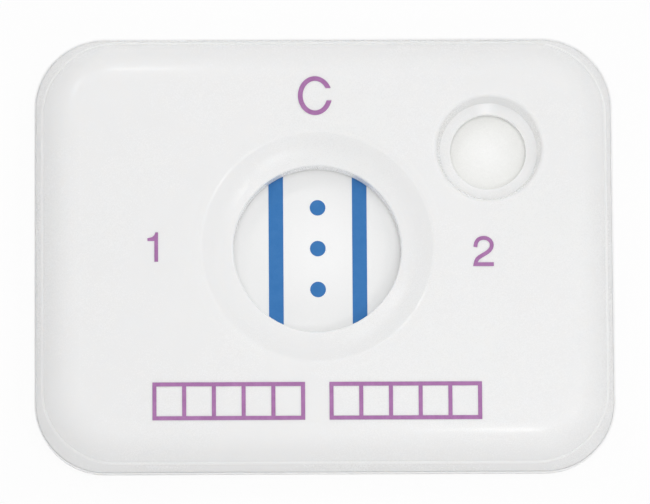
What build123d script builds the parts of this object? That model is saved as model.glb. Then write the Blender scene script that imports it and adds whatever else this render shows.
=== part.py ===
from build123d import *
from math import cos, radians, tan
import os

# Lateral flow cassette: two moulded shells around a wide test strip.
# Millimetres. Origin at the centre of the underside, +X along the length towards
# the sample well, +Y towards the control mark, +Z up out of the window.

# Case
case_length = 72.0
case_width = 54.7
case_height = 7.6
corner_radius = 8.8
case_wall = 1.7
floor_thickness = 1.2
top_thickness = 1.3

# Tray outside
tray_height = 2.4
tray_draft = 3.0
bottom_round = 0.9
gate_diameter = 3.0
gate_depth = 0.3

# Cover outside: a leaning skirt, a narrow ledge, and a dome with a flat top
cover_step = 0.2
skirt_height = 2.5
skirt_lean = 0.67
ledge_corner_gain = 0.5
ledge_width = 0.3
ledge_bevel = 0.2
dome_draft = 31.0
dome_round = 5.0
cavity_draft = 15.0
cavity_bevel = 1.5

# Lap joint between the shells: a tongue on the tray inside the cover's wall
tongue_thickness = 0.6
tongue_height = 0.8
lap_clearance = 0.08

# Six-sided press pins on the cover and their round sockets in the tray
pin_diameter = 2.4
pin_sides = 6
pin_clearance = 0.03
pin_chamfer = 0.3
pin_tip_gap = 0.3
pin_wall_room = 0.4
shoulder_diameter = 3.8
shoulder_gap = 0.1
socket_wall = 0.9
socket_height = 2.8

# Reaction window: a funnel in the top, and a skirt down to the membrane
window_x = -0.9
window_y = 0.31
window_radius = 10.4
window_wall = 1.2
window_lip_bevel = 0.15
membrane_gap = 0.1

# The funnel rises gently from the lip, bends up at its toe, and ends in a shallow ease
funnel_width = 4.0
funnel_depth = 1.9
funnel_toe_reach = 0.6
funnel_toe_rise = 0.5
funnel_toe_round = 6.5
funnel_ease_width = 1.2
funnel_ease_depth = 0.14
funnel_round = 0.8

# Sample well: a steep wall, a seat that slopes to the lip, and a short tube
well_x = 20.42
well_y = 12.6
well_radius = 4.7
well_wall = 1.2
well_tube_height = 0.9
seat_width = 1.35
seat_rise = 0.6
seat_thickness = 1.0
well_wall_lean = 0.45
well_mouth_ease = 0.4
well_lip_bevel = 0.12
pad_gap = 0.1

# Ribs in the tray that carry the card, and guides that locate it
bed_rib_count = 5
bed_rib_height = 1.0
bed_rib_thickness = 0.8
bed_rib_end_gap = 1.0
guide_clearance = 0.15
guide_thickness = 1.0
guide_length = 7.0
guide_rise = 0.6

# Ribs under the cover that press the pads together
press_rib_thickness = 1.0
press_rib_gap = 0.05
press_rib_margin = 2.5
absorbent_rib_count = 2
sample_rib_count = 3

# Test strip
card_thickness = 0.3
card_end_margin = 7.0
card_pin_room = 0.5
strip_side_margin = 0.85
membrane_thickness = 0.2
membrane_overlap = 1.9
skirt_pad_room = 0.35
conjugate_length = 5.0
conjugate_thickness = 0.6
sample_overlap = 3.0
sample_thickness = 1.0
absorbent_thickness = 1.6

# Reagent on the membrane
reagent_thickness = 0.03
reagent_shift_x = 0.11
reagent_shift_y = 0.47
line_spacing = 10.38
line_width = 1.82
line_end_margin = 1.5
dot_count = 3
dot_diameter = 1.95
dot_pitch = 5.14

# Printed field of write-in boxes near the front edge
print_thickness = 0.03
field_x = -1.07
field_margin = 8.36
group_count = 2
group_gap = 3.0
box_count = 5
box_pitch = 3.66
box_height = 4.7
stroke = 0.5

# How far a cutting form runs on above the flat top
cut_height = 1.0

# Where the two bevels of an eased edge meet, as a share of its width
ease_share = 0.35

# Heights that follow from those sizes
ledge_z = tray_height + skirt_height
ceiling_z = case_height - top_thickness
tongue_z = tray_height + tongue_height
socket_z = floor_thickness + socket_height
shoulder_z = socket_z + shoulder_gap
card_z = floor_thickness + bed_rib_height
strip_z = card_z + card_thickness
guide_z = strip_z + guide_rise
membrane_z = strip_z + membrane_thickness
conjugate_z = strip_z + conjugate_thickness
sample_z = strip_z + sample_thickness
absorbent_z = strip_z + absorbent_thickness
lip_z = case_height - funnel_depth
toe_z = lip_z + funnel_toe_rise
ease_z = case_height - funnel_ease_depth
window_foot_z = membrane_z + membrane_gap
well_foot_z = sample_z + pad_gap
well_lip_z = well_foot_z + well_tube_height
seat_z = well_lip_z + seat_rise

# Insets and radii that follow
tongue_inset = case_wall - tongue_thickness
lap_inset = tongue_inset - lap_clearance
ledge_inset = cover_step + skirt_lean
ledge_corner = corner_radius + ledge_corner_gain
dome_inset = ledge_inset + ledge_width
dome_corner = ledge_corner - ledge_width
cavity_corner = dome_corner + dome_inset - case_wall
funnel_radius = window_radius + funnel_width
window_skirt_radius = window_radius + window_wall
toe_radius = window_skirt_radius + funnel_toe_reach
seat_radius = well_radius + seat_width
well_mouth_radius = seat_radius + well_wall_lean
well_tube_radius = well_radius + well_wall
socket_bore = pin_diameter + 2 * pin_clearance
socket_radius = socket_bore / 2 + socket_wall

# Places that follow: the outer pins stand on the diagonals of the corners
corner_centre = case_wall + cavity_corner
cavity_lean = (socket_z - tray_height) * tan(radians(cavity_draft))
pin_reach = (cavity_corner - cavity_lean - pin_wall_room - socket_radius) * cos(radians(45))
pin_x = case_length / 2 - corner_centre + pin_reach
pin_y = case_width / 2 - corner_centre + pin_reach
pin_places = [(x, y) for x in (-pin_x, 0, pin_x) for y in (-pin_y, pin_y)]
card_end = case_length / 2 - card_end_margin
card_far = pin_y - socket_radius - card_pin_room
card_near = window_y - window_skirt_radius - strip_side_margin
membrane_reach = window_skirt_radius + skirt_pad_room + membrane_overlap
membrane_left = window_x - membrane_reach
membrane_right = window_x + membrane_reach
absorbent_right = membrane_left + membrane_overlap
conjugate_left = membrane_right - membrane_overlap
conjugate_right = conjugate_left + conjugate_length
sample_left = conjugate_right - sample_overlap
reagent_x = window_x + reagent_shift_x
reagent_y = window_y + reagent_shift_y


def outline(inset, radius, z):
    """A rounded rectangle at height z, drawn in from the rim of the case."""
    return Pos(0, 0, z) * RectangleRounded(case_length - 2 * inset, case_width - 2 * inset, radius)


def block(x0, x1, y0, y1, z0, z1):
    """A rectangular block between two corners."""
    return Pos((x0 + x1) / 2, (y0 + y1) / 2, (z0 + z1) / 2) * Box(x1 - x0, y1 - y0, z1 - z0)


def post(x, y, radius, z0, z1):
    """An upright round post."""
    return Pos(x, y, (z0 + z1) / 2) * Cylinder(radius, z1 - z0)


def six_sided_post(x, y, diameter, z0, z1):
    """An upright post whose section is a polygon, measured across its corners."""
    section = RegularPolygon(diameter / 2, pin_sides)
    return Pos(x, y, z0) * extrude(section, amount=z1 - z0)


def corner_at(profile, point):
    """The corner of a profile nearest to a point (radius, height)."""
    return profile.vertices().sort_by_distance((point[0], 0, point[1]))[0]


def turned(x, y, points, lip=None, bevel=0, toe=None, toe_round=0):
    """A solid turned about an upright axis from a profile of (radius, height)."""
    profile = make_face(Plane.XZ * Polyline(*points, close=True))
    if toe:
        profile = fillet(corner_at(profile, toe), toe_round)
    if lip:
        profile = chamfer(corner_at(profile, lip), bevel)
    return Pos(x, y, 0) * revolve(profile, Axis.Z)


def spaced(start, end, count):
    """The middles of equal shares of a span."""
    return [start + (end - start) * (i + 0.5) / count for i in range(count)]


def fitting_round(wanted, height, draft):
    """The wanted radius, or the largest that a drafted wall of that height can take."""
    slope = height / cos(radians(draft))
    return min(wanted, 0.92 * slope / tan(radians((90 - draft) / 2)))


def circles_at(solid, radius, z):
    """The round edges of one radius at one height."""
    circles = solid.edges().filter_by(GeomType.CIRCLE)
    return circles.filter_by(lambda e: abs(e.radius - radius) < 1e-3 and abs(e.center().Z - z) < 1e-3)


def tray_shell():
    """The tray's drafted wall and floor, with the tongue of the lap joint on its rim."""
    lean = tray_height * tan(radians(tray_draft))
    shell = extrude(outline(lean, corner_radius - lean, 0), amount=tray_height, taper=-tray_draft)
    shell = fillet(shell.edges().group_by(Axis.Z)[0], min(bottom_round, 0.8 * floor_thickness))
    tongue = outline(tongue_inset, corner_radius - tongue_inset, floor_thickness)
    shell += extrude(tongue, amount=tongue_z - floor_thickness)
    pocket = outline(case_wall, corner_radius - case_wall, floor_thickness)
    return shell - extrude(pocket, amount=case_height)


def bed_ribs():
    """Low ribs along the strip, which carry the card clear of the floor."""
    x = card_end - bed_rib_end_gap
    half = bed_rib_thickness / 2
    places = spaced(card_near, card_far, bed_rib_count)
    return [block(-x, x, y - half, y + half, floor_thickness / 2, card_z) for y in places]


def guides():
    """Short walls around the card, two on each long side and one at each end."""
    z0 = floor_thickness / 2
    half = guide_length / 2
    near = card_near - guide_clearance
    far = card_far + guide_clearance
    end = card_end + guide_clearance
    middle = (card_near + card_far) / 2
    walls = []
    for x in (-pin_x / 2, pin_x / 2):
        walls.append(block(x - half, x + half, near - guide_thickness, near, z0, guide_z))
        walls.append(block(x - half, x + half, far, far + guide_thickness, z0, guide_z))
    for x in (-end - guide_thickness, end):
        walls.append(block(x, x + guide_thickness, middle - half, middle + half, z0, guide_z))
    return walls


def make_bottom_tray():
    """The lower shell, moulded in one piece."""
    tray = tray_shell() + bed_ribs() + guides()
    tray += [post(x, y, socket_radius, floor_thickness / 2, socket_z) for x, y in pin_places]
    tray -= [post(x, y, socket_bore / 2, floor_thickness, case_height) for x, y in pin_places]
    return tray - post(0, 0, gate_diameter / 2, 0, gate_depth)


def cover_outside():
    """The cover as a full block: skirt, ledge and rounded dome."""
    foot = outline(cover_step, corner_radius - cover_step, tray_height)
    bevel = min(ledge_bevel, 0.8 * ledge_width)
    shoulder = outline(ledge_inset, ledge_corner, ledge_z - bevel)
    edge = outline(ledge_inset + bevel, ledge_corner - bevel, ledge_z)
    skirt = loft([foot, shoulder, edge], ruled=True)
    height = case_height - ledge_z
    dome = extrude(outline(dome_inset, dome_corner, ledge_z), amount=height, taper=dome_draft)
    dome = fillet(dome.edges().group_by(Axis.Z)[-1], fitting_round(dome_round, height, dome_draft))
    return skirt + dome


def cover_cavity():
    """The hollow under the cover, with the wider space for the tray's tongue."""
    height = ceiling_z - tray_height
    hollow = extrude(outline(case_wall, cavity_corner, tray_height), amount=height, taper=cavity_draft)
    hollow = chamfer(hollow.edges().group_by(Axis.Z)[-1], min(cavity_bevel, height / 2))
    lap = outline(lap_inset, corner_radius - lap_inset, tray_height)
    return hollow + extrude(lap, amount=tongue_height + lap_clearance)


def window_boss():
    """The funnel's underside and the skirt that stops just above the membrane."""
    slope = funnel_toe_rise / (toe_radius - window_radius)
    neck_z = lip_z + window_wall * slope - top_thickness
    profile = [
        (0, window_foot_z),
        (window_skirt_radius, window_foot_z),
        (window_skirt_radius, neck_z),
        (funnel_radius, ceiling_z),
        (funnel_radius, case_height),
        (0, case_height),
    ]
    return turned(window_x, window_y, profile)


def window_opening():
    """What the window leaves open: the funnel, then a straight bore."""
    run = funnel_ease_width * (1 + cut_height / funnel_ease_depth)
    lip = (window_radius, lip_z)
    toe = (toe_radius, toe_z)
    profile = [
        (0, floor_thickness),
        (window_radius, floor_thickness),
        lip,
        toe,
        (funnel_radius, ease_z),
        (funnel_radius + run, case_height + cut_height),
        (0, case_height + cut_height),
    ]
    return turned(window_x, window_y, profile, lip, window_lip_bevel, toe, funnel_toe_round)


def well_boss():
    """The sample well's wall, seat and tube, which ends just above the sample pad."""
    slope = seat_rise / seat_width
    neck_z = well_lip_z + well_wall * slope - seat_thickness
    profile = [
        (0, well_foot_z),
        (well_tube_radius, well_foot_z),
        (well_tube_radius, max(neck_z, well_foot_z + pad_gap)),
        (seat_radius + well_wall, seat_z - seat_thickness / 2),
        (well_mouth_radius + well_wall, case_height),
        (0, case_height),
    ]
    return turned(well_x, well_y, profile)


def well_opening():
    """What the sample well leaves open: an eased mouth, a steep wall, a sloping seat and a bore."""
    steep = well_mouth_ease * ease_share
    run = cut_height * (1 - ease_share) / ease_share
    lip = (well_radius, well_lip_z)
    profile = [
        (0, floor_thickness),
        (well_radius, floor_thickness),
        lip,
        (seat_radius, seat_z),
        (well_mouth_radius, case_height - well_mouth_ease),
        (well_mouth_radius + steep, case_height - steep),
        (well_mouth_radius + well_mouth_ease + run, case_height + cut_height),
        (0, case_height + cut_height),
    ]
    return turned(well_x, well_y, profile, lip, well_lip_bevel)


def press_ribs():
    """Ribs that hang from the ceiling, over the absorbent pad and the sample pad."""
    half = press_rib_thickness / 2
    near = card_near + press_rib_margin
    far = card_far - press_rib_margin
    beside_well = well_y - well_mouth_radius - well_wall - press_rib_margin / 2
    ribs = []
    for x in spaced(-card_end, absorbent_right, absorbent_rib_count):
        ribs.append(block(x - half, x + half, near, far, absorbent_z + press_rib_gap, case_height))
    for x in spaced(sample_left, card_end, sample_rib_count):
        ribs.append(block(x - half, x + half, near, beside_well, sample_z + press_rib_gap, case_height))
    return ribs


def press_pin(x, y):
    """One press pin, whose corners grip the socket, chamfered at its tip."""
    tip_z = floor_thickness + pin_tip_gap
    pin = six_sided_post(x, y, pin_diameter, tip_z, shoulder_z + shoulder_gap)
    return chamfer(pin.edges().group_by(Axis.Z)[0], pin_chamfer)


def make_top_cover():
    """The upper shell, moulded in one piece with its pins and ribs."""
    shoulders = [six_sided_post(x, y, shoulder_diameter, shoulder_z, case_height) for x, y in pin_places]
    hollow = cover_cavity() - [window_boss(), well_boss(), *press_ribs(), *shoulders]
    cover = cover_outside() - hollow - window_opening() - well_opening()
    cover += [press_pin(x, y) for x, y in pin_places]
    return fillet(circles_at(cover, funnel_radius, ease_z), funnel_round)


def strip_block(x0, x1, z0, z1):
    """A layer of the strip, as wide as the card."""
    return block(x0, x1, card_near, card_far, z0, z1)


def make_absorbent_pad():
    """The wick, stepped underneath where it lies over the end of the membrane."""
    pad = strip_block(-card_end, absorbent_right, strip_z, absorbent_z)
    return pad - strip_block(membrane_left, absorbent_right, strip_z, membrane_z)


def make_conjugate_pad():
    """The bridge pad, stepped where it lies over the other end of the membrane."""
    pad = strip_block(conjugate_left, conjugate_right, strip_z, conjugate_z)
    return pad - strip_block(conjugate_left, membrane_right, strip_z, membrane_z)


def make_sample_pad():
    """The pad under the well, stepped where it lies over the bridge pad."""
    pad = strip_block(sample_left, card_end, strip_z, sample_z)
    return pad - strip_block(sample_left, conjugate_right, strip_z, conjugate_z)


def make_test_line(side):
    """One reagent line across the membrane, left (-1) or right (+1) of the middle."""
    x = reagent_x + side * line_spacing / 2
    half = line_width / 2
    near = card_near + line_end_margin
    far = card_far - line_end_margin
    return block(x - half, x + half, near, far, membrane_z, membrane_z + reagent_thickness)


def make_control_dots():
    """The row of reagent dots between the lines."""
    reach = dot_count * dot_pitch / 2
    dots = spaced(reagent_y - reach, reagent_y + reach, dot_count)
    top = membrane_z + reagent_thickness
    return Part() + [post(reagent_x, y, dot_diameter / 2, membrane_z, top) for y in dots]


def box_group(x, y):
    """One row of write-in boxes, starting at its left edge."""
    width = box_count * box_pitch + stroke
    top = case_height + print_thickness
    row = block(x, x + width, y - box_height / 2, y + box_height / 2, case_height, top)
    half = box_height / 2 - stroke
    for i in range(box_count):
        left = x + i * box_pitch + stroke
        row -= block(left, left + box_pitch - stroke, y - half, y + half, case_height, top)
    return row


def make_write_in_boxes():
    """The printed field: groups of write-in boxes side by side on the flat top."""
    pitch = box_count * box_pitch + stroke + group_gap
    start = field_x - (group_count * pitch - group_gap) / 2
    y = field_margin - case_width / 2
    return Part() + [box_group(start + i * pitch, y) for i in range(group_count)]


parts = {
    "bottom_tray": make_bottom_tray(),
    "top_cover": make_top_cover(),
    "backing_card": strip_block(-card_end, card_end, card_z, strip_z),
    "reaction_membrane": strip_block(membrane_left, membrane_right, strip_z, membrane_z),
    "conjugate_pad": make_conjugate_pad(),
    "sample_pad": make_sample_pad(),
    "absorbent_pad": make_absorbent_pad(),
    "test_line_1": make_test_line(-1),
    "test_line_2": make_test_line(1),
    "control_dots": make_control_dots(),
    "write_in_boxes": make_write_in_boxes(),
}

os.makedirs("parts", exist_ok=True)
for name, solid in parts.items():
    export_step(solid, f"parts/{name}.step")
    print(name, round(solid.volume, 2))
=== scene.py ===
# %% [markdown]
# # A lateral flow cassette
# A flat white plastic case holds a test strip. Drops of sample go in the small
# stepped well, creep along the strip and pass under the round window, where blue
# reagent spots stand on a white membrane. The solid parts come from CAD, so this
# lesson is about what CAD leaves out: finishes, fibres, ink and light.

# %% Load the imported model
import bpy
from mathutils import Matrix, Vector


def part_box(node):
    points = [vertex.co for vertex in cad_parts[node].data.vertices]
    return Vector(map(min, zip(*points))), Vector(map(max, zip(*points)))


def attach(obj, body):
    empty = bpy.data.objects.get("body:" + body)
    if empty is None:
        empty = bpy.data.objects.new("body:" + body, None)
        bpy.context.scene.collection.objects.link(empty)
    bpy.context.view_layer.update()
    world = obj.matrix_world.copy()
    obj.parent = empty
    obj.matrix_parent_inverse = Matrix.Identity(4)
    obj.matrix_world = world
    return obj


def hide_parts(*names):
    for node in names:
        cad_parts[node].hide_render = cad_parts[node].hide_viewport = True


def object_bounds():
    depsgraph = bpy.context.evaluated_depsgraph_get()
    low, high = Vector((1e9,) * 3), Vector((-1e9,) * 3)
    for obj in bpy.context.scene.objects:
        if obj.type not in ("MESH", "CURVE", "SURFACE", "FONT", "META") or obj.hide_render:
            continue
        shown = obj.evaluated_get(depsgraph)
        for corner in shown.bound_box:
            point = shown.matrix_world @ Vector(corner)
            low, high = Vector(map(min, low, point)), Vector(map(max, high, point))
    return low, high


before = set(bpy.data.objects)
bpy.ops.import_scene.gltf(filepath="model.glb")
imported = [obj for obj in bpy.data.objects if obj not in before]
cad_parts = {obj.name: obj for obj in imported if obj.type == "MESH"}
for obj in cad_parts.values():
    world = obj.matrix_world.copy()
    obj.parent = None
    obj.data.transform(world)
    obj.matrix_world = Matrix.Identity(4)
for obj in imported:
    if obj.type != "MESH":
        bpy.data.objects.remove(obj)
print(len(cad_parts), "nodes loaded")

# %% [markdown]
# The imported model is a fixed frame in metres. Its size is written down before
# anything is added, and printed once more at the end.

# %% Measure what was loaded
import math

import bmesh
import bpy
from mathutils import Matrix, Vector, noise

MM = 0.001
cad_bounds = [[float(v) for v in corner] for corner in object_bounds()]
for node_name in sorted(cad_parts):
    low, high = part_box(node_name)
    print(f"{node_name:18s}", *(f"{v / MM:7.2f}" for v in (*low, *high)))

# %% [markdown]
# ## The camera
# A long lens from almost straight above shows the case with hardly any
# perspective. A photographer would use a macro lens on a copy stand, leaned nine
# degrees to the front, so that the front edge shows too, and about one to the left.
# The camera also turns by less than half a degree about its own axis, because the
# case doesn't lie quite square.

# %% Place the camera
PHOTO_WIDTH_PX = 650
SENSOR_WIDTH = 36.0
camera_distance = 0.86
lean_to_front = math.radians(9.2)
lean_to_left = math.radians(1.2)
camera_roll = math.radians(0.386)
pixels_per_mm = 8.0465
aim_point = Vector((0.107, 0.401, 2.4)) * MM

field_width = PHOTO_WIDTH_PX / pixels_per_mm * MM
camera_data = bpy.data.cameras.new("camera")
camera_data.sensor_width = SENSOR_WIDTH
camera_data.lens = SENSOR_WIDTH * camera_distance / field_width
camera_data.clip_start = 0.01
camera_data.clip_end = 20.0
camera = bpy.data.objects.new("camera", camera_data)
bpy.context.scene.collection.objects.link(camera)
backwards = Vector((-math.tan(lean_to_left), -math.tan(lean_to_front), 1)).normalized()
rightwards = Vector((0, 1, 0)).cross(backwards).normalized()
upwards = backwards.cross(rightwards)
stance = Matrix((rightwards, upwards, backwards)).transposed().to_4x4()
turn = Matrix.Rotation(-camera_roll, 4, "Z")
camera.matrix_world = Matrix.Translation(aim_point + backwards * camera_distance) @ stance @ turn
bpy.context.scene.camera = camera
bpy.context.scene.view_settings.view_transform = "Standard"
print(f"lens {camera_data.lens:.1f} mm sees {field_width / MM:.1f} mm across")

# %% [markdown]
# ## Helpers for node trees
# A material is a small graph of nodes. One helper makes a node, sets it up and
# plugs in its inputs, another makes a node group: a graph with named sockets that
# several materials can share, each with its own values.

# %% Make nodes and node groups
FLOAT, COLOUR = "NodeSocketFloat", "NodeSocketColor"


def add_node(tree, kind, inputs=None, **settings):
    node = tree.nodes.new(kind)
    for name, value in settings.items():
        setattr(node, name, value)
    for key, value in (inputs or {}).items():
        # a socket is plugged in, and anything else is the value of an unplugged input
        if isinstance(value, bpy.types.NodeSocket):
            tree.links.new(value, node.inputs[key])
        else:
            node.inputs[key].default_value = value
    return node


def new_group(name, inputs, outputs):
    tree = bpy.data.node_groups.new(name, "ShaderNodeTree")
    for socket_name, kind, default in inputs:
        socket = tree.interface.new_socket(socket_name, in_out="INPUT", socket_type=kind)
        socket.default_value = default
    for socket_name, kind in outputs:
        tree.interface.new_socket(socket_name, in_out="OUTPUT", socket_type=kind)
    return tree, add_node(tree, "NodeGroupInput").outputs, add_node(tree, "NodeGroupOutput").inputs


def mix_colours(tree, factor, first, second, blend="MIX"):
    # the Mix node keeps its colour sockets at places 6 and 7, and the result at 2
    sockets = {0: factor, 6: first, 7: second}
    return add_node(tree, "ShaderNodeMix", sockets, data_type="RGBA", blend_type=blend).outputs[2]


def remap(tree, value, from_low, from_high, to_low=0.0, to_high=1.0):
    sockets = {0: value, 1: from_low, 2: from_high, 3: to_low, 4: to_high}
    return add_node(tree, "ShaderNodeMapRange", sockets).outputs[0]


def noise_of(tree, size_mm, detail=2.0, stretch=(1, 1, 1), turn=0.0):
    # object coordinates are metres, so they are first turned, stretched and made millimetres
    place = add_node(tree, "ShaderNodeTexCoord").outputs["Object"]
    scale = tuple(v / MM for v in stretch)
    turned = add_node(tree, "ShaderNodeVectorRotate", {"Vector": place, "Angle": turn}, rotation_type="Z_AXIS")
    mapped = add_node(tree, "ShaderNodeVectorMath", {0: turned.outputs[0], 1: scale}, operation="MULTIPLY")
    if isinstance(size_mm, bpy.types.NodeSocket):
        fineness = add_node(tree, "ShaderNodeMath", {0: 1.0, 1: size_mm}, operation="DIVIDE").outputs[0]
    else:
        fineness = 1 / size_mm
    sockets = {"Vector": mapped.outputs[0], "Scale": fineness, "Detail": detail}
    return add_node(tree, "ShaderNodeTexNoise", sockets).outputs["Fac"]


print("node helpers ready")

# %% [markdown]
# ## A shared skin for moulded plastic
# A moulded shell copies its steel tool. The tool was ground and then lightly
# blasted, so even a smooth white shell has a fine grain, and the melt leaves faint
# clouds where it cooled at different speeds. Both come from noise in object space,
# which needs no unwrapping and keeps its scale on every part.

# %% Node group: moulded skin
skin, skin_in, skin_out = new_group(
    "moulded skin",
    [
        ("Colour", COLOUR, (0.86, 0.87, 0.87, 1)),
        ("Shade", COLOUR, (0.83, 0.84, 0.84, 1)),
        ("Cloud Size", FLOAT, 9.0),
        ("Grain Size", FLOAT, 0.12),
        ("Roughness Low", FLOAT, 0.3),
        ("Roughness High", FLOAT, 0.45),
    ],
    [("Colour", COLOUR), ("Roughness", FLOAT), ("Grain", FLOAT)],
)
clouds = noise_of(skin, skin_in["Cloud Size"], detail=3.0)
grain = noise_of(skin, skin_in["Grain Size"], detail=2.0)
cloud_mask = remap(skin, clouds, 0.35, 0.65)
skin.links.new(mix_colours(skin, cloud_mask, skin_in["Colour"], skin_in["Shade"]), skin_out["Colour"])
patchy = add_node(skin, "ShaderNodeMath", {0: clouds, 1: grain}, operation="MULTIPLY").outputs[0]
rough = remap(skin, patchy, 0.15, 0.35, skin_in["Roughness Low"], skin_in["Roughness High"])
skin.links.new(rough, skin_out["Roughness"])
skin.links.new(grain, skin_out["Grain"])
print(skin.name, "has", len(skin.nodes), "nodes")

# %% [markdown]
# ## A shared mat of fibres
# Filter paper, glass fibre and the membrane are all mats of crossing fibres that
# differ in coarseness. Drawing each fibre would take millions of faces. Noise that
# is stretched along three directions and laid one over another gives the same
# crossing strands, as a mask for colour and as a height for bump.

# %% Node group: fibre mat
mat, mat_in, mat_out = new_group(
    "fibre mat",
    [
        ("Colour", COLOUR, (0.93, 0.93, 0.91, 1)),
        ("Gaps", COLOUR, (0.84, 0.84, 0.82, 1)),
        ("Fibre Width", FLOAT, 0.05),
        ("Roughness Low", FLOAT, 0.8),
        ("Roughness High", FLOAT, 1.0),
    ],
    [("Colour", COLOUR), ("Roughness", FLOAT), ("Strands", FLOAT)],
)
strands = None
for turn_degrees in (14, 71, 128):
    layer = noise_of(mat, mat_in["Fibre Width"], 1.0, (1, 0.09, 0.6), math.radians(turn_degrees))
    if strands is None:
        strands = layer
    else:
        strands = add_node(mat, "ShaderNodeMath", {0: strands, 1: layer}, operation="MAXIMUM").outputs[0]
strand_mask = remap(mat, strands, 0.48, 0.72)
mat.links.new(mix_colours(mat, strand_mask, mat_in["Gaps"], mat_in["Colour"]), mat_out["Colour"])
rough = remap(mat, strand_mask, 0.0, 1.0, mat_in["Roughness High"], mat_in["Roughness Low"])
mat.links.new(rough, mat_out["Roughness"])
mat.links.new(strand_mask, mat_out["Strands"])
print(mat.name, "has", len(mat.nodes), "nodes")

# %% [markdown]
# ## A shared painted shade towards the wall
# The membrane and the sample pad each lie at the bottom of a round opening, and the
# wall keeps some light from their edges. This group paints that shade into their
# colour: white in the middle and a shade greyer towards the wall. The mask is the
# distance from the middle of the opening, in millimetres.

# %% Node group: fade to the wall
fade, fade_in, fade_out = new_group(
    "painted wall shade",
    [
        ("Colour", COLOUR, (0.95, 0.95, 0.95, 1)),
        ("Painted Shade", COLOUR, (0.93, 0.93, 0.93, 1)),
        ("Centre X", FLOAT, 0.0),
        ("Centre Y", FLOAT, 0.0),
        ("Clear Radius", FLOAT, 1.0),
        ("Wall Radius", FLOAT, 5.0),
    ],
    [("Colour", COLOUR)],
)
place = add_node(fade, "ShaderNodeTexCoord").outputs["Object"]
in_mm = add_node(fade, "ShaderNodeVectorMath", {0: place, "Scale": 1 / MM}, operation="SCALE").outputs[0]
parts_of = add_node(fade, "ShaderNodeSeparateXYZ", {0: in_mm}).outputs
here = add_node(fade, "ShaderNodeCombineXYZ", {0: parts_of[0], 1: parts_of[1]}).outputs[0]
middle = add_node(fade, "ShaderNodeCombineXYZ", {0: fade_in["Centre X"], 1: fade_in["Centre Y"]}).outputs[0]
apart = add_node(fade, "ShaderNodeVectorMath", {0: here, 1: middle}, operation="DISTANCE").outputs["Value"]
# painted shade: the colour turns greyer with the distance from the middle, towards the wall
painted_shade_mask = remap(fade, apart, fade_in["Clear Radius"], fade_in["Wall Radius"])
painted_shade = mix_colours(fade, painted_shade_mask, fade_in["Colour"], fade_in["Painted Shade"], "MULTIPLY")
fade.links.new(painted_shade, fade_out["Colour"])
print(fade.name, "has", len(fade.nodes), "nodes")

# %% [markdown]
# ## A shared film of dye or ink
# Dried reagent and pad printed ink are both thin films that lie unevenly: a little
# denser in some patches, with fine specks where the surface below takes less of
# it. One group serves both, with a blue and a purple set of colours.

# %% Node group: dried film
film, film_in, film_out = new_group(
    "dried film",
    [
        ("Dense", COLOUR, (0.05, 0.18, 0.45, 1)),
        ("Thin", COLOUR, (0.08, 0.24, 0.52, 1)),
        ("Patch Size", FLOAT, 1.2),
        ("Speck Size", FLOAT, 0.09),
        ("Roughness Low", FLOAT, 0.5),
        ("Roughness High", FLOAT, 0.8),
    ],
    [("Colour", COLOUR), ("Roughness", FLOAT), ("Specks", FLOAT)],
)
patches = noise_of(film, film_in["Patch Size"], detail=2.0)
specks = noise_of(film, film_in["Speck Size"], detail=1.0)
both = add_node(film, "ShaderNodeMath", {0: patches, 1: specks}, operation="ADD").outputs[0]
thinness = remap(film, both, 0.75, 1.25)
film.links.new(mix_colours(film, thinness, film_in["Dense"], film_in["Thin"]), film_out["Colour"])
rough = remap(film, specks, 0.3, 0.7, film_in["Roughness Low"], film_in["Roughness High"])
film.links.new(rough, film_out["Roughness"])
film.links.new(specks, film_out["Specks"])
print(film.name, "has", len(film.nodes), "nodes")

# %% [markdown]
# ## Finishes
# Each finish is one Principled shader that takes colour and roughness from a group
# and lets the group's height tilt the surface through a Bump node. The distance of
# the bump is the real height in metres, a few thousandths of a millimetre for
# plastic and more for paper. The Principled shader itself stays in the material,
# outside the groups.

# %% A helper for finishes
def new_finish(name, group, values, height_socket, bump_distance, painted_wall_shade=None, **shader):
    material = bpy.data.materials.new(name)
    material.use_nodes = True
    tree = material.node_tree
    tree.nodes.clear()
    effect = add_node(tree, "ShaderNodeGroup", values, node_tree=group)
    base = effect.outputs["Colour"]
    # an opening's painted shade is multiplied into the base colour here
    if painted_wall_shade:
        base = add_node(tree, "ShaderNodeGroup", {"Colour": base, **painted_wall_shade}, node_tree=fade).outputs["Colour"]
    bump = add_node(tree, "ShaderNodeBump", {"Height": effect.outputs[height_socket], "Distance": bump_distance})
    sockets = {
        "Base Color": base,
        "Roughness": effect.outputs["Roughness"],
        "Normal": bump.outputs[0],
    }
    sockets.update({key.replace("_", " "): value for key, value in shader.items()})
    surface = add_node(tree, "ShaderNodeBsdfPrincipled", sockets)
    add_node(tree, "ShaderNodeOutputMaterial", {"Surface": surface.outputs[0]})
    print("made", name)
    return material


def colour(red, green, blue):
    return (red, green, blue, 1.0)


# %% [markdown]
# ## The plastics
# The two shells are white plastic with a satin gloss, and the cover is a little
# smoother than the tray. White plastic also glows a little from within, which
# softens the shade in its creases. The depth of that glow has to stay well under the
# thickness of a wall, or the thin edges lose their light and turn grey. The card
# below the strip is matt.

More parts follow.
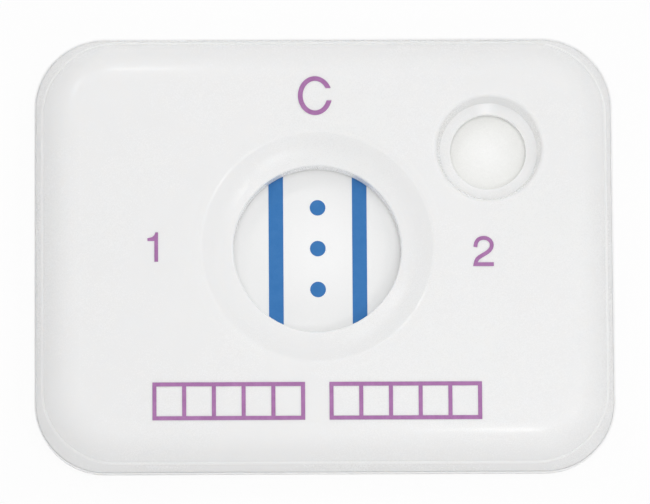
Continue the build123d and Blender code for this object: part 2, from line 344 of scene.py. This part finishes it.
# %% Make the plastics
glow_depth = 0.25 * MM
milky = {"Subsurface_Weight": 1.0, "Subsurface_Radius": (1.0, 0.97, 0.94), "Subsurface_Scale": glow_depth}
cover_plastic = new_finish(
    "white_cover_plastic",
    skin,
    {"Colour": colour(0.93, 0.933, 0.93), "Shade": colour(0.915, 0.918, 0.915), "Cloud Size": 14.0,
     "Roughness Low": 0.23, "Roughness High": 0.29},
    "Grain",
    0.004 * MM,
    **milky,
)
tray_plastic = new_finish(
    "white_tray_plastic",
    skin,
    {"Colour": colour(0.93, 0.932, 0.928), "Shade": colour(0.912, 0.915, 0.911), "Cloud Size": 11.0},
    "Grain",
    0.006 * MM,
    **milky,
)
card_plastic = new_finish(
    "backing_card_plastic",
    skin,
    {"Colour": colour(0.88, 0.88, 0.87), "Shade": colour(0.86, 0.86, 0.85), "Roughness Low": 0.6,
     "Roughness High": 0.8},
    "Grain",
    0.003 * MM,
)

# %% [markdown]
# ## The membrane and the pads
# The membrane is a fine mat of fibres and the pads are a coarser one, so both come
# from the same group with other widths. The two finishes that show through an
# opening also get painted shade towards its wall.

# %% Make the papers
membrane_film = new_finish(
    "membrane_film",
    mat,
    {"Colour": colour(0.975, 0.975, 0.975), "Gaps": colour(0.945, 0.945, 0.945), "Fibre Width": 0.03},
    "Strands",
    0.004 * MM,
    # painted shade towards the window's wall; its middle sits a little right of and above the window's middle, so
    # the left and lower edge get more of it
    painted_wall_shade={"Painted Shade": colour(0.925, 0.925, 0.92), "Centre X": -0.3, "Centre Y": 0.8, "Clear Radius": 2.2,
           "Wall Radius": 9.0},
)
pad_fibre = new_finish(
    "pad_fibre",
    mat,
    {"Colour": colour(0.95, 0.95, 0.935), "Gaps": colour(0.87, 0.87, 0.85), "Fibre Width": 0.055},
    "Strands",
    0.02 * MM,
)
sample_fibre = new_finish(
    "sample_pad_fibre",
    mat,
    {"Colour": colour(0.985, 0.985, 0.975), "Gaps": colour(0.93, 0.93, 0.92), "Fibre Width": 0.045},
    "Strands",
    0.008 * MM,
    # painted shade towards the wall of the well
    painted_wall_shade={"Painted Shade": colour(0.92, 0.92, 0.91), "Centre X": 20.42, "Centre Y": 12.6, "Clear Radius": 0.4,
           "Wall Radius": 4.1},
)

# %% [markdown]
# ## The dye and the ink
# The reagent has soaked in and has hardly any gloss of its own. The ink lies on the
# plastic and keeps some.

# %% Make the films
blue_reagent = new_finish(
    "blue_reagent",
    film,
    {"Dense": colour(0.04, 0.18, 0.463), "Thin": colour(0.052, 0.2, 0.488)},
    "Specks",
    0.003 * MM,
    Specular_IOR_Level=0.2,
)
purple_ink = new_finish(
    "purple_ink",
    film,
    {"Dense": colour(0.37, 0.15, 0.37), "Thin": colour(0.45, 0.2, 0.45), "Patch Size": 0.8},
    "Specks",
    0.002 * MM,
)

# %% [markdown]
# A CAD part keeps its mesh and only changes its finish, so the material goes into
# the slots that the part already has.

# %% Dress the CAD parts
finish_of_part = {
    "top_cover": cover_plastic,
    "bottom_tray": tray_plastic,
    "backing_card": card_plastic,
    "reaction_membrane": membrane_film,
    "test_line_1": blue_reagent,
    "test_line_2": blue_reagent,
    "control_dots": blue_reagent,
    "write_in_boxes": purple_ink,
}


def wear(thing, material):
    if not thing.material_slots:
        thing.data.materials.append(material)
    for place in thing.material_slots:
        place.material = material


for part_name, finish in finish_of_part.items():
    wear(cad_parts[part_name], finish)
    print(part_name, "wears", finish.name)

# %% [markdown]
# ## The fibre pads
# The sample pad, the conjugate pad and the absorbent pad are soft sheets of
# pressed fibre. Their CAD solids have knife sharp edges, which only metal has. Here
# each is copied, remeshed into small even faces, which rounds its edges as a cut
# pad's are, and then every point is moved inwards by a fine noise, so that the pad
# looks laid down by fibres and still fits its place in the case.

# %% Make the pads
lump_scale = 0.9
fibre_stretch = (1.1, 3.4, 2.0)
fibre_shift = Vector((7, 3, 1))
even_share, lump_share, fibre_share = 0.5, 0.3, 0.2


def felted_pad(part_name, voxel, depth, finish):
    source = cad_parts[part_name]
    mesh = source.data.copy()
    mesh.name = f"{part_name}_felt"
    pad = bpy.data.objects.new(mesh.name, mesh)
    bpy.context.scene.collection.objects.link(pad)
    remesh = pad.modifiers.new("even faces", "REMESH")
    remesh.mode = "VOXEL"
    remesh.voxel_size = voxel
    soften = pad.modifiers.new("soft edges", "SMOOTH")
    soften.factor = 0.5
    soften.iterations = 2
    graph = bpy.context.evaluated_depsgraph_get()
    felt = bpy.data.meshes.new_from_object(pad.evaluated_get(graph))
    pad.modifiers.clear()
    pad.data = felt
    for vertex, direction in zip(felt.vertices, [v.normal.copy() for v in felt.vertices]):
        spot = vertex.co / MM
        lumps = noise.noise(spot * lump_scale)
        stretched = Vector([along * by for along, by in zip(spot, fibre_stretch)])
        fibres = noise.noise(stretched + fibre_shift)
        vertex.co -= direction * depth * (even_share + lump_share * lumps + fibre_share * fibres)
    felt.shade_smooth()
    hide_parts(part_name)
    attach(pad, "root")
    felt.materials.clear()
    wear(pad, finish)
    print(f"{pad.name}: {len(felt.polygons)} faces")


felted_pad("sample_pad", 0.16 * MM, 0.05 * MM, sample_fibre)
felted_pad("conjugate_pad", 0.16 * MM, 0.04 * MM, pad_fibre)
felted_pad("absorbent_pad", 0.22 * MM, 0.06 * MM, pad_fibre)

# %% [markdown]
# ## Printed marks
# The marks on the cover are pad printed: a rubber pad lays down one thin, even
# film of ink. A text object would bring a whole font with it, so each mark is
# drawn here as a plain outline, filled with one face and lifted by the thickness
# of the ink.

# %% Print one mark
ink_low, ink_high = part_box("write_in_boxes")
print(f"the ink is {(ink_high.z - ink_low.z) / MM:.3f} mm thick")


def print_mark(name, outline_mm, centre_mm):
    mesh = bpy.data.meshes.new(name)
    shape = bmesh.new()
    corners = [
        shape.verts.new(((x + centre_mm[0]) * MM, (y + centre_mm[1]) * MM, ink_low.z))
        for x, y in outline_mm
    ]
    face = shape.faces.new(corners)
    face.normal_update()
    if face.normal.z < 0:
        face.normal_flip()
    raised = bmesh.ops.extrude_face_region(shape, geom=[face])
    top = [item for item in raised["geom"] if isinstance(item, bmesh.types.BMVert)]
    bmesh.ops.translate(shape, verts=top, vec=(0, 0, ink_high.z - ink_low.z))
    bmesh.ops.recalc_face_normals(shape, faces=shape.faces)
    bmesh.ops.triangulate(shape, faces=shape.faces, ngon_method="BEAUTY")
    shape.to_mesh(mesh)
    shape.free()
    mark = bpy.data.objects.new(name, mesh)
    bpy.context.scene.collection.objects.link(mark)
    wear(mark, purple_ink)
    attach(mark, "root")
    print(f"{name}: {mark.dimensions.x / MM:.2f} x {mark.dimensions.y / MM:.2f} mm")


# %% [markdown]
# The control mark is an open ring: an outer and an inner ellipse, each cut off at
# the same two heights, so that the ends of the stroke are level.

# %% The control mark
OUTER_HALVES, INNER_HALVES = (2.12, 2.45), (1.52, 1.87)
OPENING_TOP, OPENING_BOTTOM = 0.94, -0.6
CONTROL_CENTRE = (-1.12, 19.2)


def ellipse_arc(half_width, half_height, start_y, end_y, steps=40):
    start = math.asin(start_y / half_height)
    end = 2 * math.pi + math.asin(end_y / half_height)
    angles = [start + (end - start) * i / steps for i in range(steps + 1)]
    return [(half_width * math.cos(a), half_height * math.sin(a)) for a in angles]


outer = ellipse_arc(*OUTER_HALVES, OPENING_TOP, OPENING_BOTTOM)
inner = ellipse_arc(*INNER_HALVES, OPENING_TOP, OPENING_BOTTOM)
print_mark("control_mark", outer + inner[::-1], CONTROL_CENTRE)

# %% [markdown]
# The numeral one is a stem with a short curved flag, and the numeral two is one
# stroke of even width that ends in a level foot. The stroke follows a smooth line
# through a few points, and its two edges lie half a stroke to either side.

# %% The two numerals
ONE_CENTRE, TWO_CENTRE = (-21.24, 0.25), (19.57, -0.39)
TWO_STROKE = 0.48
ONE_OUTLINE = [
    (0.62, -1.84), (0.62, 1.84), (0.31, 1.84), (0.24, 1.63), (0.12, 1.42), (-0.09, 1.25),
    (-0.38, 1.16), (-0.685, 1.11), (-0.685, 0.76), (0.165, 0.76), (0.165, -1.84),
]
TWO_LINE = [
    (-0.99, 0.51), (-0.87, 1.08), (-0.52, 1.5), (0.03, 1.65), (0.58, 1.52), (0.94, 1.17), (1.04, 0.74),
    (0.92, 0.3), (0.54, -0.11), (0.02, -0.44), (-0.5, -0.76), (-0.83, -1.12), (-1.02, -1.7),
]


def smooth_line(points, steps=6):
    ends = [2 * Vector(points[0]) - Vector(points[1])] + [Vector(p) for p in points]
    ends.append(2 * Vector(points[-1]) - Vector(points[-2]))
    line = []
    for before, start, end, after in zip(ends, ends[1:], ends[2:], ends[3:]):
        for i in range(steps):
            t = i / steps
            line.append(
                0.5 * (2 * start + (end - before) * t + (2 * before - 5 * start + 4 * end - after) * t ** 2
                       + (3 * start - before - 3 * end + after) * t ** 3)
            )
    return line + [ends[-2]]


def stroke_edges(line, width):
    left, right = [], []
    for i, point in enumerate(line):
        ahead = (line[min(i + 1, len(line) - 1)] - line[max(i - 1, 0)]).normalized()
        side = Vector((-ahead.y, ahead.x)) * width / 2
        left.append(point + side)
        right.append(point - side)
    return left, right


def cut_at(line, height):
    kept = [p for p in line if p.y > height]
    last, beyond = kept[-1], line[len(kept)]
    return kept + [last.lerp(beyond, (last.y - height) / (last.y - beyond.y))]


foot_top, foot_bottom, foot_end = -1.4, -1.88, 1.28
outer_side, inner_side = stroke_edges(smooth_line(TWO_LINE), TWO_STROKE)
foot = [(foot_end, foot_top), (foot_end, foot_bottom), (-foot_end, foot_bottom)]
two_outline = cut_at(outer_side, foot_top) + foot + cut_at(inner_side, foot_top)[::-1]
print_mark("numeral_one", ONE_OUTLINE, ONE_CENTRE)
print_mark("numeral_two", two_outline, TWO_CENTRE)

# %% [markdown]
# ## The table
# The case lies on a plain white table. Its paint shows the camera a white glow over
# a matt white, so that the backdrop is white and still keeps the soft shadow of the
# case. All other rays see only the matt white, which throws light back on the case
# as a real table does. The table is there only for what looks at it from above, so
# that the underside of the case can be seen from below too.

# %% Lay the table
table_radius = 2.5
hair_gap = 0.01 * MM
table_mesh = bpy.data.meshes.new("table")
table_shape = bmesh.new()
bmesh.ops.create_circle(table_shape, cap_ends=True, segments=96, radius=table_radius)
table_shape.to_mesh(table_mesh)
table_shape.free()
table = bpy.data.objects.new("table", table_mesh)
table.location.z = cad_bounds[0][2] - hair_gap
bpy.context.scene.collection.objects.link(table)
print(f"the table is {2 * table_radius:.0f} m across")

# %% Paint the table
table_white = 0.9
glow_share = 0.9
open_depth = 0.4 * MM
table_paint = bpy.data.materials.new("table_paint")
table_paint.use_nodes = True
paint = table_paint.node_tree
paint.nodes.clear()
matt = add_node(paint, "ShaderNodeBsdfDiffuse", {"Color": colour(table_white, table_white, table_white)})
glow = add_node(paint, "ShaderNodeEmission", {"Color": colour(1, 1, 1), "Strength": 1.0})
rays = add_node(paint, "ShaderNodeLightPath").outputs
share = add_node(paint, "ShaderNodeMath", {0: rays["Is Camera Ray"], 1: glow_share}, operation="MULTIPLY")
seen = add_node(paint, "ShaderNodeMixShader", {0: share.outputs[0], 1: matt.outputs[0], 2: glow.outputs[0]})

# a ray from below, or one from right under the case, goes through the table
under = add_node(paint, "ShaderNodeNewGeometry").outputs["Backfacing"]
touching = add_node(paint, "ShaderNodeMath", {0: rays["Ray Length"], 1: open_depth}, operation="LESS_THAN")
opening = add_node(paint, "ShaderNodeMath", {0: under, 1: touching.outputs[0]}, operation="MAXIMUM")
clear = add_node(paint, "ShaderNodeBsdfTransparent")
top_only = add_node(paint, "ShaderNodeMixShader", {0: opening.outputs[0], 1: seen.outputs[0], 2: clear.outputs[0]})
add_node(paint, "ShaderNodeOutputMaterial", {"Surface": top_only.outputs[0]})
table_mesh.materials.append(table_paint)
print("the table wears", table_paint.name)

# %% [markdown]
# ## The room
# White walls all round give a little more than half of the light, soft and without a
# direction. The camera sees the room as plain white, whatever its light.

# %% Light the room
room_light = 0.56
room = bpy.data.worlds.new("white_room")
room.use_nodes = True
air = room.node_tree
air.nodes.clear()
rays = add_node(air, "ShaderNodeLightPath").outputs
lit = add_node(air, "ShaderNodeBackground", {"Color": colour(1, 1, 1), "Strength": room_light})
white = add_node(air, "ShaderNodeBackground", {"Color": colour(1, 1, 1), "Strength": 1.0})
seen = add_node(air, "ShaderNodeMixShader", {0: rays["Is Camera Ray"], 1: lit.outputs[0], 2: white.outputs[0]})
add_node(air, "ShaderNodeOutputWorld", {"Surface": seen.outputs[0]})
bpy.context.scene.world = room
print(f"the room gives {room_light:.2f} of full brightness")

# %% [markdown]
# ## The lamps
# As for a catalogue picture, the room and the lamps together give a white sheet
# nearly its own brightness. A broad soft box hangs overhead, and two more fill in
# from the upper right and the front. Four small lamps draw the highlights: one along
# the front edge, one along the back edge, and two on the rim of the funnel. Only
# those four are mirrored in the gloss, since a broad box would lay a grey veil over
# it. A small lamp close by draws a short streak, and one further off a longer one.

# %% Set up the lamps
def soft_box(name, azimuth, elevation, share, distance=0.9, size=0.6, mirrored=False):
    # share is how much of a white sheet's full brightness this lamp alone gives on the table,
    # and mirrored says whether the gloss of the plastic shows the lamp
    lamp = bpy.data.lights.new(name, "AREA")
    lamp.shape = "DISK"
    lamp.size = size
    lamp.energy = share * (math.pi * distance) ** 2 / math.sin(math.radians(elevation))
    stand = bpy.data.objects.new(name, lamp)
    stand.visible_glossy = mirrored
    turn_to = Matrix.Rotation(math.radians(azimuth), 4, "Z") @ Matrix.Rotation(math.radians(90 - elevation), 4, "Y")
    stand.matrix_world = turn_to @ Matrix.Translation((0, 0, distance))
    bpy.context.scene.collection.objects.link(stand)
    print(f"{name}: {lamp.energy:.2f} W gives {share:.3f}")


soft_box("soft_box_overhead", 0, 90, 0.235, distance=1.4, size=0.8)
soft_box("soft_box_upper_right", 40, 45, 0.05, distance=0.45, size=0.3)
soft_box("soft_box_front", -90, 30, 0.02)
soft_box("lamp_lower_right", -20, 57, 0.028, size=0.06, mirrored=True)
soft_box("lamp_upper_left", 132, 50, 0.03, size=0.06, mirrored=True)
soft_box("lamp_front", -56, 60, 0.046, distance=0.0975, size=0.01, mirrored=True)
soft_box("lamp_back", 110.4, 47.4, 0.02, distance=0.107, size=0.01, mirrored=True)

# %% [markdown]
# ## Last look at the size
# The dressed model is meant to keep the size of the CAD model. Only the box of the
# CAD model, measured before anything was added, is printed here.

# %% Print the size of the CAD model
print("CAD    ", cad_bounds)
